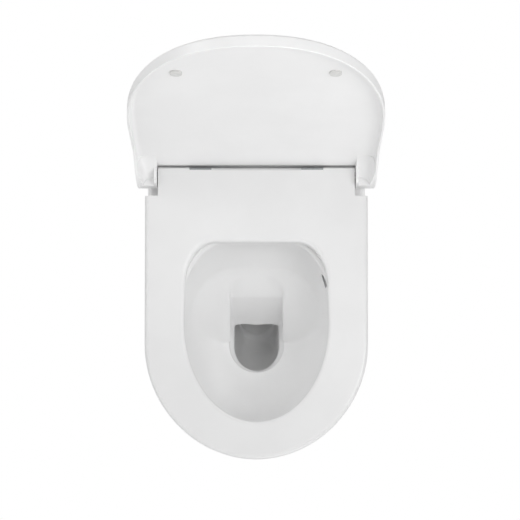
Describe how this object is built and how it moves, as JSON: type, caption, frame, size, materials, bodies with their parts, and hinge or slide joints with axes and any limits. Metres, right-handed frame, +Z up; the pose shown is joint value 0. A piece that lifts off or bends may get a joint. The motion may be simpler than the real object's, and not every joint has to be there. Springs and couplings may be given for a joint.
{
  "type": "wall hung toilet",
  "caption": "Wall hung toilet: rounded ceramic pan with a trapway and concealed wall fixing, a soft-close seat ring and a wrap-over lid on a lift-off hinge unit.",
  "frame": {"origin": "midway between the two wall fixing holes, on the wall plane", "axes": "+X to the right as a person faces the toilet, the front faces -Y and +Z is up"},
  "size_m": [0.3748, 0.542, 0.8124],
  "materials": {
    "glaze": "white vitreous glaze, glossy",
    "seat_plastic": "white thermoset, glossy",
    "lid_plastic": "white thermoset, glossy",
    "soft_pad": "soft off-white pad",
    "hinge_metal": "satin stainless steel",
    "screw_steel": "plain stainless steel",
    "bar_plastic": "grey, matt",
    "button_plastic": "grey, matt",
    "pin_steel": "ground steel",
    "damper_plastic": "dark grey, matt",
    "plate_steel": "stamped stainless steel",
    "gasket_rubber": "grey rubber",
    "bush_plastic": "dark grey, matt",
    "bracket_plastic": "dark grey glass-filled plastic, matt",
    "cap_plastic": "white, glossy"
  },
  "bodies": {
    "pan": {"pan": "glaze", "left_base_plate": "plate_steel", "right_base_plate": "plate_steel", "base_gaskets": "gasket_rubber", "seat_screws": "screw_steel", "seat_bushes": "bush_plastic", "wall_brackets": "bracket_plastic", "wall_washers": "screw_steel", "wall_nuts": "screw_steel", "clamp_screws": "screw_steel", "clamp_bushes": "bush_plastic", "clamp_caps": "cap_plastic"},
    "hinge_unit": {"hinge_bar": "bar_plastic", "left_hinge_block": "hinge_metal", "right_hinge_block": "hinge_metal", "seat_damper": "damper_plastic", "lid_damper": "damper_plastic"},
    "seat": {"seat": "seat_plastic", "seat_buffers": "soft_pad", "hinge_leaves": "hinge_metal", "leaf_screws": "screw_steel", "left_hinge_pin": "pin_steel"},
    "lid": {"lid": "lid_plastic", "lid_bumpers": "soft_pad", "right_hinge_pin": "pin_steel"},
    "left_release_button": {"left_release_button": "button_plastic"},
    "right_release_button": {"right_release_button": "button_plastic"}
  },
  "joints": [
    {"name": "hinge_lift_off", "type": "slide", "parent": "pan", "child": "hinge_unit", "axis": [0, 0, 1], "range_m": [0, 0.04]},
    {"name": "seat_hinge", "type": "hinge", "parent": "hinge_unit", "child": "seat", "pos_m": [0, -0.096, 0.1015], "axis": [-1, 0, 0], "range_deg": [0, 97]},
    {"name": "lid_hinge", "type": "hinge", "parent": "hinge_unit", "child": "lid", "pos_m": [0, -0.096, 0.1015], "axis": [-1, 0, 0], "range_deg": [-98.5, 0]},
    {"name": "left_release", "type": "slide", "parent": "hinge_unit", "child": "left_release_button", "axis": [-1, 0, 0], "range_m": [0, 0.002], "stiffness_N_per_m": 1500, "springref_m": -0.001},
    {"name": "right_release", "type": "slide", "parent": "hinge_unit", "child": "right_release_button", "axis": [1, 0, 0], "range_m": [0, 0.002], "stiffness_N_per_m": 1500, "springref_m": -0.001}
  ]
}
